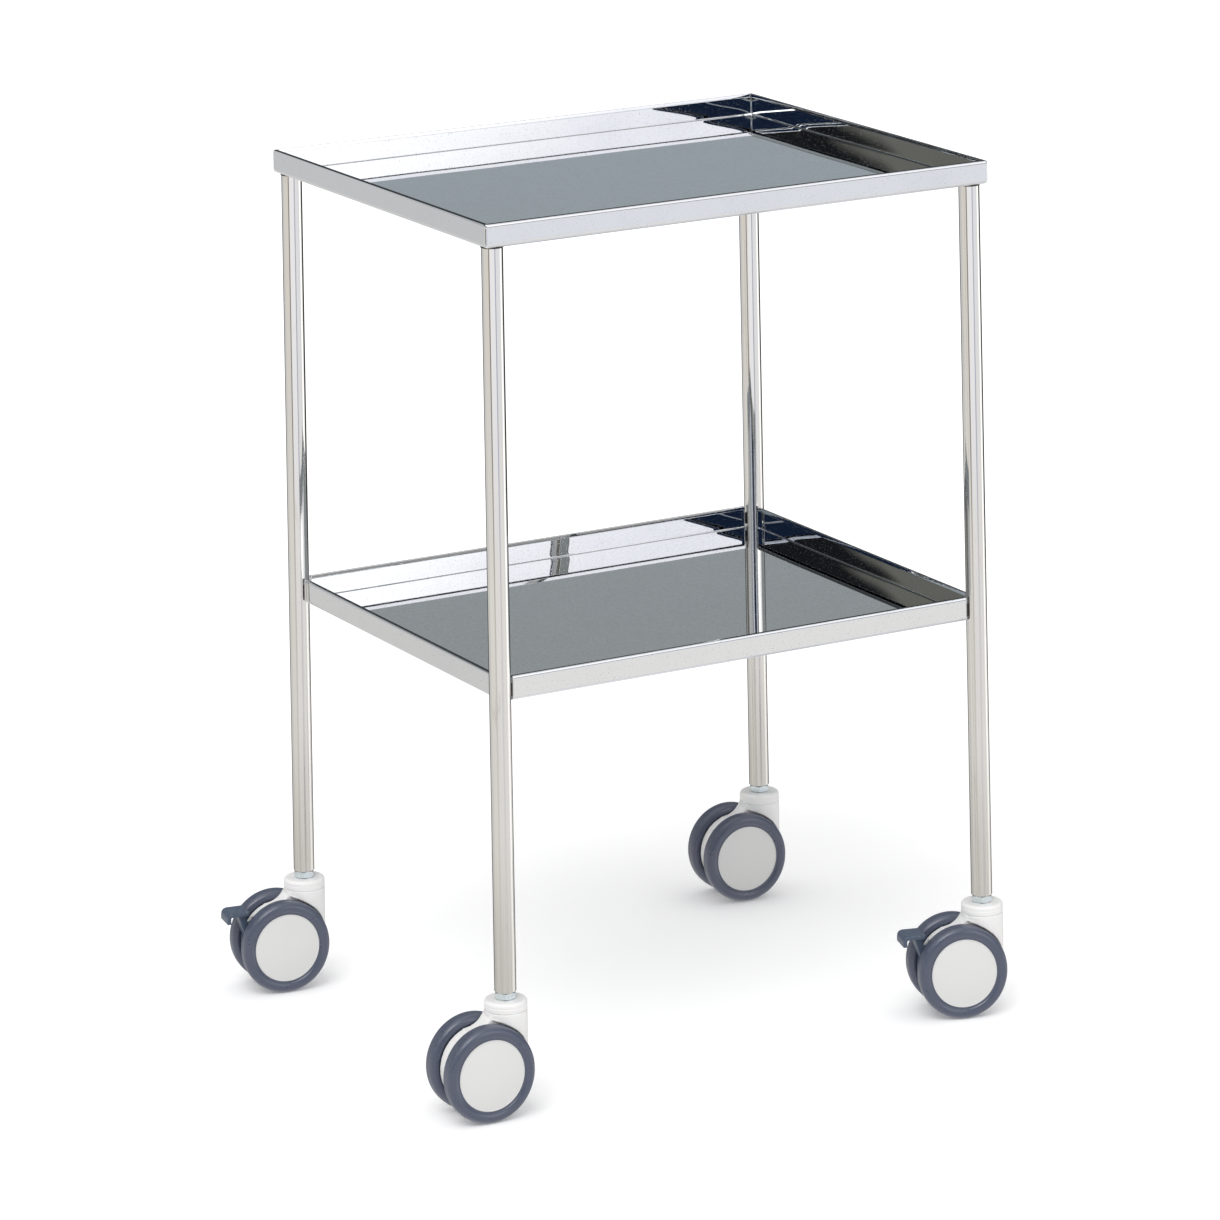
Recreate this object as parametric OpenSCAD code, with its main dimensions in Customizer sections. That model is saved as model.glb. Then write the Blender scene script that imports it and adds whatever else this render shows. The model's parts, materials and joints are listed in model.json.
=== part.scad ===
// Two-tier instrument cart. Two hemmed sheet-metal trays stand on four tube legs, and each
// leg stands on a twin-wheel swivel caster. Two casters on one diagonal have a brake pedal.
// Millimetres, +Z up. The origin is on the floor under the middle of the cart, +X runs along
// the long side and +Y towards the back. Every caster trails towards -X, or a few degrees off it.

/* [Cart] */
// Height of the top tray's rim above the floor
cart_h = 895; // [750:5:1050]
// Length of the top tray, along X
top_len = 600; // [480:5:800]
// Width of the top tray, along Y
top_wid = 490; // [400:5:600]
// Height of the lower tray's rim above the floor
shelf_rim_z = 435; // [320:5:560]
// Distance from the top tray's outer faces in to the leg axes
leg_inset = 15; // [15:0.5:20]

/* [Trays] */
// Height of a tray's walls, from its underside to its rim
wall_h = 25; // [20:1:40]
// Thickness of the sheet
sheet = 1; // [0.8:0.1:1.5]
// Width of the hem that is folded inwards along the rim
hem_w = 4.5; // [4.2:0.1:6]
// Height of the hem
hem_h = 4; // [3:0.5:5]
// Radius of the upright outer corners
corner_r = 2.5; // [1.5:0.5:3]
// How far the lower tray's long walls stand outside the leg axes
shelf_out = 2; // [0:0.5:3]
// Distance from a leg axis to the end of each lower tray wall
wall_end = 13.5; // [13:0.1:16]

/* [Legs] */
// Outer diameter of a leg tube
leg_d = 22.2; // [21:0.1:23]
// Wall thickness of a leg tube
leg_wall = 1.5; // [1:0.1:2]
// Thread diameter of a caster stem
stem_d = 12; // [10:1:12]
// Width across the flats of the hexagon on a stem
nut_flats = 20; // [17:1:21]

/* [Casters] */
// Diameter of a wheel
wheel_d = 96; // [94:1:104]
// Width of a tyre
tyre_w = 20; // [18:0.5:20]
// Distance between the middles of a caster's two wheels
wheel_pitch = 44; // [44:0.5:48]
// Distance from the swivel axis back to the axle
trail = 29; // [28:1:32]
// Diameter of the white cap on a wheel
cap_d = 71; // [68:1:74]
// Radius of the housing round the axle
body_r = 39.5; // [39:0.5:42]
// Radius of the swivel collar
collar_r = 22; // [21:0.5:23]
// Height of the top of the collar above the top of the wheels
collar_rise = 16.7; // [16.5:0.1:20]
// Travel of a brake pedal, in degrees
pedal_travel = 12; // [6:1:12]

/* [Casters at rest] */
// Turn of the rear left caster, clockwise from above, away from trailing towards -X
turn_rear_left = 9; // [-180:1:180]
// Turn of the front left caster
turn_front_left = 4; // [-180:1:180]
// Turn of the front right caster
turn_front_right = 16; // [-180:1:180]
// Turn of the rear right caster
turn_rear_right = 7; // [-180:1:180]

/* [Hidden] */
$fn = 72;
skin = 1;                                  // overshoot of a cut past the surface that it opens
run = 0.05;                                // radial running clearance of a shaft in its bore
leg_r = leg_d / 2;
leg_x = top_len / 2 - leg_inset;
leg_y = top_wid / 2 - leg_inset;
shelf_len = 2 * leg_x;
shelf_wid = 2 * (leg_y + shelf_out);
hem_r = hem_h / 2;
top_z = cart_h - wall_h;                   // underside of the top tray
shelf_z = shelf_rim_z - wall_h;            // underside of the lower tray
bead = 1.8;                                // leg of a weld bead

axle_z = wheel_d / 2;
axle_r = 4;
axle_half = 27.2;
body_half = wheel_pitch / 2 - tyre_w / 2 - 1;   // half the housing's width, 1 mm clear of each wheel
well_r = wheel_d / 2 + 1.2;                // the housing is cut back to this radius beside a wheel
collar_top = wheel_d + collar_rise;
cover_h = 10.2;                            // height of the cover on the collar
seam_z = collar_top - cover_h;
collar_low = axle_z - 4;                   // lower end of the column under the collar
column_x = sqrt(pow(collar_r, 2) - pow(body_half, 2)) - 1.2;   // half the width of the column inside the collar
blend_r = 25;                              // concave blend from the collar down to the round body
blend_bite = 0.2;                          // the blend runs this far into the round body, so that they cross
blend_z = axle_z + sqrt(pow(body_r + blend_r - blend_bite, 2) - pow(trail - column_x - blend_r, 2));
nut_gap = 0.3;                             // between the collar's cover and the hexagon
nut_z = collar_top + nut_gap;
nut_h = 7;
leg_z = nut_z + nut_h;                     // lower end of a leg tube
insert_h = 25;
stem_r = stem_d / 2;
flange_r = 16;                             // the bearing's flange, above the wheels
flange_z = well_r + axle_z - 0.5;
flange_h = 4.5;
sleeve_r = 9.5;                            // and its sleeve, between them
sleeve_z = flange_z - 15;
head_r = 9;                                // head and shoulder of a stem, below and above the bearing
head_h = 3.5;
end_play = 0.1;

cap_r = cap_d / 2;
tyre_round = wheel_d / 4 - cap_r / 2;      // radius of the tyre's rounded section
rim_side = tyre_w / 2 - 2;                 // half the width of the rim's outer ring
cap_face = tyre_w / 2 - 4.5;               // where a cap sits on its rim, from the wheel's middle
cap_dome = 1.5;

pin_r = 2.5;
pin_half = body_half - 0.5;
pivot = [-trail - 22, axle_z + 20];        // brake pivot, as [x, z] from the swivel axis
arm_in = 34;
arm_out = body_r + 1;
arm_half = body_half - 1.5;
tongue_half = 5.8;
tongue_r = 6;
cheek_gap = 0.5;
arm_span = [154, 222];                     // the arm's angles about the axle
brake_hub_r = 24;                          // the housing is cut back to this round the axle, for the arm
brake_cut = [arm_span[0] - 4, arm_span[1] + pedal_travel + 6];   // and between these angles
paddle_top = axle_z + 38;
paddle_t = 4;
paddle_half = 13;
paddle_in = 37;                            // reach of the paddle from the axle, nearest and furthest
paddle_out = 61;
lip_r = 5.5;
lip_drop = 5.5;

CORNERS = ["rear_left", "front_left", "front_right", "rear_right"];
SIGNS = [[-1, 1], [-1, -1], [1, -1], [1, 1]];
TURNS = [turn_rear_left, turn_front_left, turn_front_right, turn_rear_right];
BRAKED = [0, 2];
SIDES = ["near", "far"];

// ---- helpers

// Moves its children to one corner's leg axis.
module at_corner(i) {
    translate([SIGNS[i][0] * leg_x, SIGNS[i][1] * leg_y, 0]) children();
}

// Moves its children to one corner's caster, turned as it stands at rest.
module at_caster(i) {
    at_corner(i) rotate([0, 0, -TURNS[i]]) children();
}

// Extrudes a section drawn as (y, z) along X, or one drawn as (x, z) along Y, both centred.
module along_x(length) {
    rotate([90, 0, 90]) linear_extrude(length, center = true) children();
}
module along_y(length) {
    rotate([90, 0, 0]) linear_extrude(length, center = true) children();
}

// A cylinder with its axis along Y, at (x, z).
module cross_rod(x, z, r, half) {
    translate([x, 0, z]) rotate([90, 0, 0]) cylinder(r = r, h = 2 * half, center = true);
}

// A section of width w that stands on y = 0, with rounded lower and upper corners.
module section(w, h, low_r, top_r) {
    translate([-w / 2, low_r]) square([w, h - low_r - top_r]);
    for (side = [-1, 1]) {
        translate([side * (w / 2 - low_r), low_r]) circle(low_r);
        if (top_r > 0) translate([side * (w / 2 - top_r), h - top_r]) circle(top_r);
    }
    translate([low_r - w / 2, 0]) square([w - 2 * low_r, low_r]);
    if (top_r > 0) translate([top_r - w / 2, h - top_r]) square([w - 2 * top_r, top_r]);
}

module rounded_rectangle(x, y, r) {
    square([x - 2 * r, y], center = true);
    square([x, y - 2 * r], center = true);
    for (sx = [-1, 1]) for (sy = [-1, 1]) {
        translate([sx * (x / 2 - r), sy * (y / 2 - r)]) circle(r);
    }
}

// A wedge about the origin between two angles, as wide as it needs to be to cut a part.
module wedge(span, reach) {
    steps = 8;
    polygon(concat([[0, 0]], [for (k = [0:steps])
        let (a = span[0] + (span[1] - span[0]) * k / steps) [reach * cos(a), reach * sin(a)]]));
}

// ---- trays

// The inside of a tray in section: flat floor, bends, upright walls, and the hem along the rim.
// The bend ends under the hem's edge, so the hem overhangs no part of the flat floor.
module cavity_section(w) {
    difference() {
        translate([0, sheet]) section(w - 2 * sheet, wall_h - sheet + skin, hem_w - sheet, 0);
        for (side = [-1, 1]) {
            translate([side * (w / 2 - hem_w + hem_r), wall_h - hem_r]) circle(hem_r);
            translate([side * (w / 2 - (hem_w - hem_r) / 2), wall_h - hem_r + skin / 2])
                square([hem_w - hem_r, hem_h + skin], center = true);
        }
    }
}

module tray_block(x, y) {
    intersection() {
        along_x(x) section(y, wall_h, hem_w, hem_r);
        along_y(y) section(x, wall_h, hem_w, hem_r);
        linear_extrude(wall_h) rounded_rectangle(x, y, corner_r);
    }
}

module tray_cavity(x, y) {
    intersection() {
        along_x(x) cavity_section(y);
        along_y(y) cavity_section(x);
    }
}

module top_tray() {
    color("gainsboro") translate([0, 0, top_z]) difference() {
        tray_block(top_len, top_wid);
        tray_cavity(top_len, top_wid);
    }
}

// The lower tray stands between the legs. Its walls stop short of each leg and turn inwards
// there, and its floor is cut round the leg.
module lower_tray() {
    color("silver") translate([0, 0, shelf_z]) difference() {
        tray_block(shelf_len, shelf_wid);
        difference() {
            tray_cavity(shelf_len, shelf_wid);
            for (s = SIGNS) mirrored_to(s) wall_returns();
        }
        for (i = [0:3]) at_corner(i) translate([0, 0, -skin]) cylinder(r = leg_r, h = wall_h + 2 * skin);
        for (s = SIGNS) mirrored_to(s) translate([leg_x - wall_end, leg_y - wall_end, sheet])
            cube([2 * wall_end, 2 * wall_end, wall_h]);
    }
}

// Mirrors its children from the +X +Y corner into the corner with these signs.
module mirrored_to(s) {
    mirror([s[0] < 0 ? 1 : 0, 0, 0]) mirror([0, s[1] < 0 ? 1 : 0, 0]) children();
}

module wall_returns() {
    translate([leg_x - wall_end - sheet, shelf_wid / 2 - hem_w, 0]) cube([sheet, hem_w, wall_h]);
    translate([shelf_len / 2 - hem_w, leg_y - wall_end - sheet, 0]) cube([hem_w, sheet, wall_h]);
}

// ---- legs and what is fixed to them

module leg(i) {
    chamfer = 0.6;
    color("gainsboro") at_corner(i) difference() {
        union() {
            translate([0, 0, leg_z + chamfer]) cylinder(r = leg_r, h = top_z - leg_z - chamfer);
            translate([0, 0, leg_z]) cylinder(r1 = leg_r - chamfer, r2 = leg_r, h = chamfer);
        }
        translate([0, 0, leg_z - skin]) cylinder(r = leg_r - leg_wall, h = top_z - leg_z + 2 * skin);
    }
}

// A bead round each leg's top, under the top tray.
module top_welds() {
    color("darkgray") for (i = [0:3]) at_corner(i) translate([0, 0, top_z]) rotate_extrude()
        polygon([[leg_r, 0], [leg_r + bead, 0], [leg_r, -bead]]);
}

// Two upright beads at each leg, in the gaps to the ends of the lower tray's walls.
module shelf_welds() {
    bead_r = 1.6;
    bead_h = 12;
    bead_low = 5;                          // the beads' lower ends above the tray's underside
    mid = (leg_r + wall_end) / 2;
    color("darkgray") for (s = SIGNS) mirrored_to(s) difference() {
        for (at = [[leg_x - mid, leg_y], [leg_x - hem_w / 2, leg_y - mid]]) {
            translate([at[0], at[1], shelf_z + bead_low]) cylinder(r = bead_r, h = bead_h);
        }
        translate([leg_x, leg_y, shelf_z]) cylinder(r = leg_r, h = wall_h);
        translate([leg_x - wall_end - wall_h, leg_y - wall_h, shelf_z]) cube([wall_h, 2 * wall_h, wall_h]);
        translate([leg_x - wall_h, leg_y - wall_end - wall_h, shelf_z]) cube([2 * wall_h, wall_h, wall_h]);
    }
}

// A threaded bush in the lower end of each leg.
module leg_inserts() {
    color("slategray") for (i = [0:3]) at_corner(i) translate([0, 0, leg_z]) difference() {
        cylinder(r = leg_r - leg_wall, h = insert_h);
        translate([0, 0, -skin]) cylinder(r = stem_r, h = insert_h + 2 * skin);
    }
}

// The stem that each caster swivels on: a rod with a head under the bearing and a shoulder on it.
module caster_stems() {
    rod_z = sleeve_z - end_play - head_h;
    color("lightsteelblue") for (i = [0:3]) at_corner(i) {
        translate([0, 0, rod_z]) cylinder(r = head_r, h = head_h);
        translate([0, 0, rod_z]) cylinder(r = stem_r, h = leg_z + insert_h - skin - rod_z);
        translate([0, 0, flange_z + flange_h + end_play]) cylinder(r = head_r, h = head_h);
    }
}

module stem_nuts() {
    color("lightsteelblue") for (i = [0:3]) at_corner(i) translate([0, 0, nut_z]) difference() {
        cylinder(r = nut_flats / sqrt(3), h = nut_h, $fn = 6);
        translate([0, 0, -skin]) cylinder(r = stem_r, h = nut_h + 2 * skin);
    }
}

// ---- casters, drawn with the swivel axis at x = y = 0

// The housing from the side: a round body behind a collar column, with a concave blend.
module housing_section() {
    foot_r = 4;
    translate([-trail, axle_z]) circle(body_r);
    translate([-column_x, axle_z]) square([2 * column_x, seam_z - axle_z]);
    translate([0, collar_low]) square([column_x - foot_r, axle_z - collar_low + skin]);
    translate([column_x - foot_r, collar_low + foot_r]) circle(foot_r);
    difference() {
        translate([-column_x - blend_r, axle_z]) square([blend_r + skin, min(blend_z, seam_z) - axle_z]);
        translate([-column_x - blend_r, blend_z]) circle(blend_r);
    }
}

module housing_blank() {
    foot_z = 13;
    intersection() {
        along_y(2 * body_half) housing_section();
        translate([-2 * wheel_d, -wheel_d, foot_z]) cube([4 * wheel_d, 2 * wheel_d, wheel_d]);
    }
    difference() {
        translate([0, 0, collar_low]) cylinder(r = collar_r, h = seam_z - collar_low);
        for (side = [-1, 1]) translate([0, side * (body_half + tyre_w), 0])
            cross_rod(-trail, axle_z, well_r, tyre_w);
    }
}

// The room that a brake pedal needs inside its housing.
module brake_room() {
    slot_half = tongue_half + cheek_gap;
    slot_out = 14;
    slot_in = 9;
    slot_low = 13;
    translate([-trail, 0, axle_z]) along_y(2 * body_half + 2 * skin) difference() {
        wedge(brake_cut, 2 * body_r);
        circle(brake_hub_r);
    }
    translate([pivot[0] - slot_out, -slot_half, pivot[1] - slot_low])
        cube([slot_out + slot_in, 2 * slot_half, slot_low + tongue_r + cheek_gap]);
}

module housing(i) {
    color("whitesmoke") at_caster(i) difference() {
        housing_blank();
        translate([0, 0, flange_z]) cylinder(r = flange_r, h = seam_z - flange_z + skin);
        translate([0, 0, sleeve_z - skin]) cylinder(r = sleeve_r, h = flange_z - sleeve_z + 2 * skin);
        translate([0, 0, sleeve_z - head_h - 1]) cylinder(r = head_r + 1, h = head_h + 1);
        cross_rod(-trail, axle_z, axle_r, wheel_d);
        if (is_braked(i)) {
            brake_room();
            cross_rod(pivot[0], pivot[1], pin_r, wheel_d);
        }
    }
}

function is_braked(i) = i == BRAKED[0] || i == BRAKED[1];

// The cover on top of the collar, with a rounded upper edge.
module swivel_cap(i) {
    edge_r = 3;
    recess = 4;                            // room for the stem's shoulder
    color("white") at_caster(i) translate([0, 0, seam_z]) rotate_extrude() difference() {
        union() {
            square([collar_r, cover_h - edge_r]);
            translate([0, cover_h - edge_r]) square([collar_r - edge_r, edge_r]);
            translate([collar_r - edge_r, cover_h - edge_r]) circle(edge_r);
        }
        translate([-skin, -skin]) square([stem_r + run + skin, cover_h + 2 * skin]);
        translate([-skin, -skin]) square([head_r + 2 * skin, recess + skin]);
    }
}

module swivel_bearing(i) {
    color("dimgray") at_caster(i) difference() {
        union() {
            translate([0, 0, sleeve_z]) cylinder(r = sleeve_r, h = flange_z - sleeve_z + skin);
            translate([0, 0, flange_z]) cylinder(r = flange_r, h = flange_h);
        }
        translate([0, 0, sleeve_z - skin]) cylinder(r = stem_r + run, h = seam_z - sleeve_z);
    }
}

module axle(i) {
    color("lightsteelblue") at_caster(i) cross_rod(-trail, axle_z, axle_r, axle_half);
}

// Places a wheel piece that is drawn about Z, with its outer face up, on one side of a caster.
module on_wheel(i, side) {
    turn = side == 0 ? 90 : -90;
    at_caster(i) translate([-trail, (side == 0 ? -1 : 1) * wheel_pitch / 2, axle_z])
        rotate([turn, 0, 0]) children();
}

module tyre(i, side) {
    mid_r = wheel_d / 2 - tyre_round;
    off = tyre_w / 2 - tyre_round;
    seat = tyre_w / 2 - 1.8;
    color("slategray") on_wheel(i, side) rotate_extrude() {
        for (z = [-off, off]) translate([mid_r, z]) circle(tyre_round);
        translate([cap_r, -seat]) square([mid_r - cap_r, 2 * seat]);
        translate([mid_r, -off]) square([tyre_round, 2 * off]);
    }
}

module rim(i, side) {
    hub_r = 9;
    hub_back = 0.5 - tyre_w / 2;
    hub_front = cap_face - 0.5;            // just clear of the cap
    ring_t = 4;
    web_half = 2;
    color("white") on_wheel(i, side) rotate_extrude() {
        translate([axle_r + run, hub_back]) square([hub_r - axle_r - run, hub_front - hub_back]);
        translate([hub_r, -web_half]) square([cap_r - hub_r, 2 * web_half]);
        translate([cap_r - ring_t, -rim_side]) square([ring_t, rim_side + cap_face]);
    }
}

// A thin domed disc with a raised edge.
module hub_cap(i, side) {
    edge_w = 1.2;
    edge_z = cap_face + 2.6;
    chamfer = 0.3;
    foot_z = edge_z - 0.4;                 // the dome starts below the raised edge
    steps = 12;
    dome_r = cap_r - edge_w;
    color("white") on_wheel(i, side) rotate_extrude()
        polygon(concat([[0, cap_face], [cap_r, cap_face], [cap_r, edge_z - chamfer],
            [cap_r - chamfer, edge_z], [dome_r, edge_z]],
            [for (k = [steps:-1:0]) let (t = k / steps) [dome_r * t, foot_z + cap_dome * (1 - t * t)]]));
}

// ---- brake

// The paddle from the side, with its lip turned down at the end, drawn from the axle.
module paddle_section() {
    z = paddle_top - axle_z;
    turn_x = lip_r - paddle_out;
    translate([turn_x, z - paddle_t]) square([-paddle_in - turn_x, paddle_t]);
    intersection() {
        translate([turn_x, z - lip_r]) difference() {
            circle(lip_r);
            circle(lip_r - paddle_t);
        }
        translate([-paddle_out, z - lip_r]) square([lip_r, lip_r]);
    }
    translate([-paddle_out, z - lip_r - lip_drop]) square([paddle_t, lip_drop]);
}

// The arm that hangs between the wheels, with grooves that leave ribs on its outer face.
module arm_section() {
    groove = 2;
    difference() {
        translate([arm_in, -arm_half]) square([arm_out - arm_in, 2 * arm_half]);
        for (y = [-1, 0, 1]) translate([arm_out - groove / 2, y * arm_half * 0.6])
            square([groove, groove], center = true);
    }
}

// The neck from the arm up to the paddle. It is narrower than the arm, and leans outwards.
module neck_section() {
    foot = 12;
    bend = 22;
    head = paddle_top - axle_z - paddle_t / 2;
    lean_in = 4;
    lean_out = 8;
    bite = 1;                              // the neck starts this far inside the arm
    polygon([[-arm_in - bite, foot], [-arm_out, foot], [-arm_out - lean_out, head],
        [-arm_in - bite - lean_in, head], [-arm_in - bite - lean_in * 0.6, bend]]);
}

// The tongue that carries the pivot, from its eye back to the arm.
module tongue_section() {
    bite = 1;
    eye = [pivot[0] + trail, pivot[1] - axle_z];
    arm_low = 9;
    translate(eye) circle(tongue_r);
    polygon([eye + [0, tongue_r], [-arm_in - bite, eye[1] + bite], [bite - arm_in, arm_low],
        eye - [0, tongue_r]]);
}

module brake_pedal(i) {
    neck_half = arm_half - 0.7;
    color("slategray") at_caster(i) difference() {
        translate([-trail, 0, axle_z]) {
            along_y(2 * paddle_half) paddle_section();
            along_y(2 * neck_half) neck_section();
            along_y(2 * tongue_half) tongue_section();
            rotate([90, 0, 0]) rotate([0, 0, arm_span[0]])
                rotate_extrude(angle = arm_span[1] - arm_span[0]) arm_section();
        }
        cross_rod(pivot[0], pivot[1], pin_r + run, wheel_d);
    }
}

module pedal_pin(i) {
    color("lightsteelblue") at_caster(i) cross_rod(pivot[0], pivot[1], pin_r, pin_half);
}

// ---- nodes

top_tray();
lower_tray();
top_welds();
shelf_welds();
leg_inserts();
caster_stems();
stem_nuts();
for (i = [0:3]) {
    leg(i);
    housing(i);
    swivel_cap(i);
    swivel_bearing(i);
    axle(i);
    for (side = [0, 1]) {
        tyre(i, side);
        rim(i, side);
        hub_cap(i, side);
    }
}
for (i = BRAKED) {
    brake_pedal(i);
    pedal_pin(i);
}
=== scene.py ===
"""Looks of a two-tier instrument cart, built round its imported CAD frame.

Metres, +Z up, in the frame's own axes: +X runs along the long side of the trays and +Y towards the
back. At rest the casters trail towards -X, each turned a few degrees. Places come from the frame.
Sizes of details are in millimetres, times MM.
"""

import json
import math

import bmesh
import bpy
from mathutils import Matrix, Vector, noise


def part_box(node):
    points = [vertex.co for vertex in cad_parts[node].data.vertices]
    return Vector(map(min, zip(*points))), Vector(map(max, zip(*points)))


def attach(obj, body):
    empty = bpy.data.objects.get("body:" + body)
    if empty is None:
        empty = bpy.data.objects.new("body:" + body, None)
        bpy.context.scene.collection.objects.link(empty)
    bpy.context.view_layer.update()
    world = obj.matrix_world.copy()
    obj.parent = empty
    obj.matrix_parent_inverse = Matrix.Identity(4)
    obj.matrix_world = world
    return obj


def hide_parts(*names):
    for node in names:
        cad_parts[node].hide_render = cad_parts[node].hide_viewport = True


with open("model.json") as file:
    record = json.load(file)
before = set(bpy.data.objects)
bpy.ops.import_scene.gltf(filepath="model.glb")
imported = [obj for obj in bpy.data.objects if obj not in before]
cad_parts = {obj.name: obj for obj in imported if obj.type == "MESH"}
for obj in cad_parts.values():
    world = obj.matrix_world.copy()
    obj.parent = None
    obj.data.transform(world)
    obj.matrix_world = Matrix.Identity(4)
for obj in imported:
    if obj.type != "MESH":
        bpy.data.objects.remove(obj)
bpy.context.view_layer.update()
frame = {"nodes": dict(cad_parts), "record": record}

MM = 0.001
CORNERS = ("rear_left", "front_left", "front_right", "rear_right")
SIDES = ("near", "far")
BRAKED = ("rear_left", "front_right")
ROUND = 96                    # steps in a full turn

# Trays
SHEET = 1.0 * MM
HEM_WIDTH = 4.5 * MM
HEM_HEIGHT = 4.0 * MM
ROLL_DEPTH = 1.3 * MM         # the outer rounding of the rim is this deep and this high
ROLL_HEIGHT = 3.4 * MM
CROWN = 0.4 * MM              # the rim's top rises this much from the rounding inwards
INNER_BEND = 1.2 * MM         # between the floor and the walls, on their inside
CORNER_RADIUS = 2.5 * MM      # of the tray's upright corners, on their outside
HEM_LEAN = 0.45 * MM          # the hem's foot stands this much further in than its top
WARP = 0.45 * MM              # how far welding has drawn a wall inwards beside a corner
WARP_REACH = 28 * MM          # and how far along the wall that reaches
WALL_END = 13.5 * MM          # from a leg's axis to the end of a lower tray wall

# Legs and the stems in them
LEG_WALL = 1.5 * MM
STEM_RADIUS = 6.0 * MM

# Casters
TYRE_WIDTH = 20 * MM
CAP_SEAT = 5.5 * MM           # from a wheel's middle to the back of its cap
CAP_EDGE = 2.6 * MM           # a cap's thickness at its edge
WELL_GAP = 1.3 * MM           # between a tyre and the housing over it

# Camera. Its film is shifted, as in a view camera, so upright edges stay parallel.
CAMERA_PLACE = (-2.946, -5.280, 2.032)
CAMERA_TURN = 29.19           # degrees, from +Y towards +X
CAMERA_ROLL = 1.035           # degrees
LENS_MM = 167.3
FILM_SHIFT = -1.247           # in widths of the film


# ---------------------------------------------------------------- mesh helpers

def middle(node):
    """The middle of a CAD node's box."""
    low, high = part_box(node)
    return (low + high) / 2


def arc(centre_x, centre_y, radius, start, end, steps):
    """Points on an arc, angles in degrees."""
    points = []
    for i in range(steps + 1):
        angle = math.radians(start + (end - start) * i / steps)
        points.append((centre_x + radius * math.cos(angle), centre_y + radius * math.sin(angle)))
    return points


def as_mesh(name, bm):
    """Turns a bmesh into a mesh whose faces look outwards."""
    bmesh.ops.recalc_face_normals(bm, faces=bm.faces)
    return plain_mesh(name, bm)


def plain_mesh(name, bm):
    """Turns a bmesh into a mesh as it is."""
    mesh = bpy.data.meshes.new(name)
    bm.to_mesh(mesh)
    bm.free()
    return mesh


def linked(name, data):
    """A new object in the scene, with a mesh, lamp or camera for its data."""
    made = bpy.data.objects.new(name, data)
    bpy.context.scene.collection.objects.link(made)
    return made


def piece_of(name, mesh, material, body, smooth_angle=32, place=(0, 0, 0), flatness=80):
    """A visible piece that rides on a body.

    Edges sharper than smooth_angle stay sharp. flatness is how strongly large faces pull the
    normals at their edges.
    """
    mesh.shade_smooth()
    mesh.set_sharp_from_angle(angle=math.radians(smooth_angle))
    mesh.materials.clear()
    mesh.materials.append(material)
    piece = linked(name, mesh)
    piece.location = place
    weighted = piece.modifiers.new("Weighted normals", "WEIGHTED_NORMAL")
    weighted.keep_sharp = True
    weighted.weight = flatness
    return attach(piece, body)


def as_piece(name, bm, material, body, **options):
    """Turns a bmesh into a visible piece."""
    return piece_of(name, as_mesh(name, bm), material, body, **options)


def stand_for(node):
    """Puts a piece in a CAD node's stead."""
    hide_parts(node)


def lathe(bm, profile, place=(0, 0, 0), turn=None, steps=ROUND, closed=True):
    """Turns (radius, height) points about Z. Points at radius 0 become a pole."""
    turn = turn or Matrix.Identity(3)
    place = Vector(place)
    rings = []
    for radius, height in profile:
        if radius < 1e-7:
            rings.append([bm.verts.new(turn @ Vector((0, 0, height)) + place)])
            continue
        ring = []
        for i in range(steps):
            angle = 2 * math.pi * i / steps
            point = Vector((radius * math.cos(angle), radius * math.sin(angle), height))
            ring.append(bm.verts.new(turn @ point + place))
        rings.append(ring)
    pairs = list(zip(rings, rings[1:]))
    if closed and len(rings[0]) > 1:
        pairs.append((rings[-1], rings[0]))
    for low, high in pairs:
        bridge(bm, low, high)


def bridge(bm, low, high):
    """Faces between two rings of points, or between a ring and a pole."""
    count = max(len(low), len(high))
    if count == 1:
        return
    for i in range(count):
        j = (i + 1) % count
        corners = [low[i % len(low)], low[j % len(low)], high[j % len(high)], high[i % len(high)]]
        corners = list(dict.fromkeys(corners))
        bm.faces.new(corners)


def add_box(bm, low, high):
    """Adds a box between two opposite corners."""
    centre = (Vector(low) + Vector(high)) / 2
    size = Vector(high) - Vector(low)
    bmesh.ops.create_cube(bm, size=1.0, matrix=Matrix.Translation(centre) @ Matrix.Diagonal((*size, 1.0)))


def evaluated_copy(work):
    """The mesh that an object's modifiers make. The object is removed."""
    bpy.context.view_layer.update()
    graph = bpy.context.evaluated_depsgraph_get()
    result = bpy.data.meshes.new_from_object(work.evaluated_get(graph))
    bpy.data.objects.remove(work)
    return result


def cut_away(mesh, tools):
    """A mesh with the volume of a bmesh of tools taken out of it."""
    tool = linked("cutter", as_mesh("cutter", tools))
    work = linked("work", mesh)
    cut = work.modifiers.new("Cut", "BOOLEAN")
    cut.object = tool
    cut.solver = "EXACT"
    result = evaluated_copy(work)
    bpy.data.objects.remove(tool)
    return result


# ---------------------------------------------------------------- shader helpers

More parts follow.
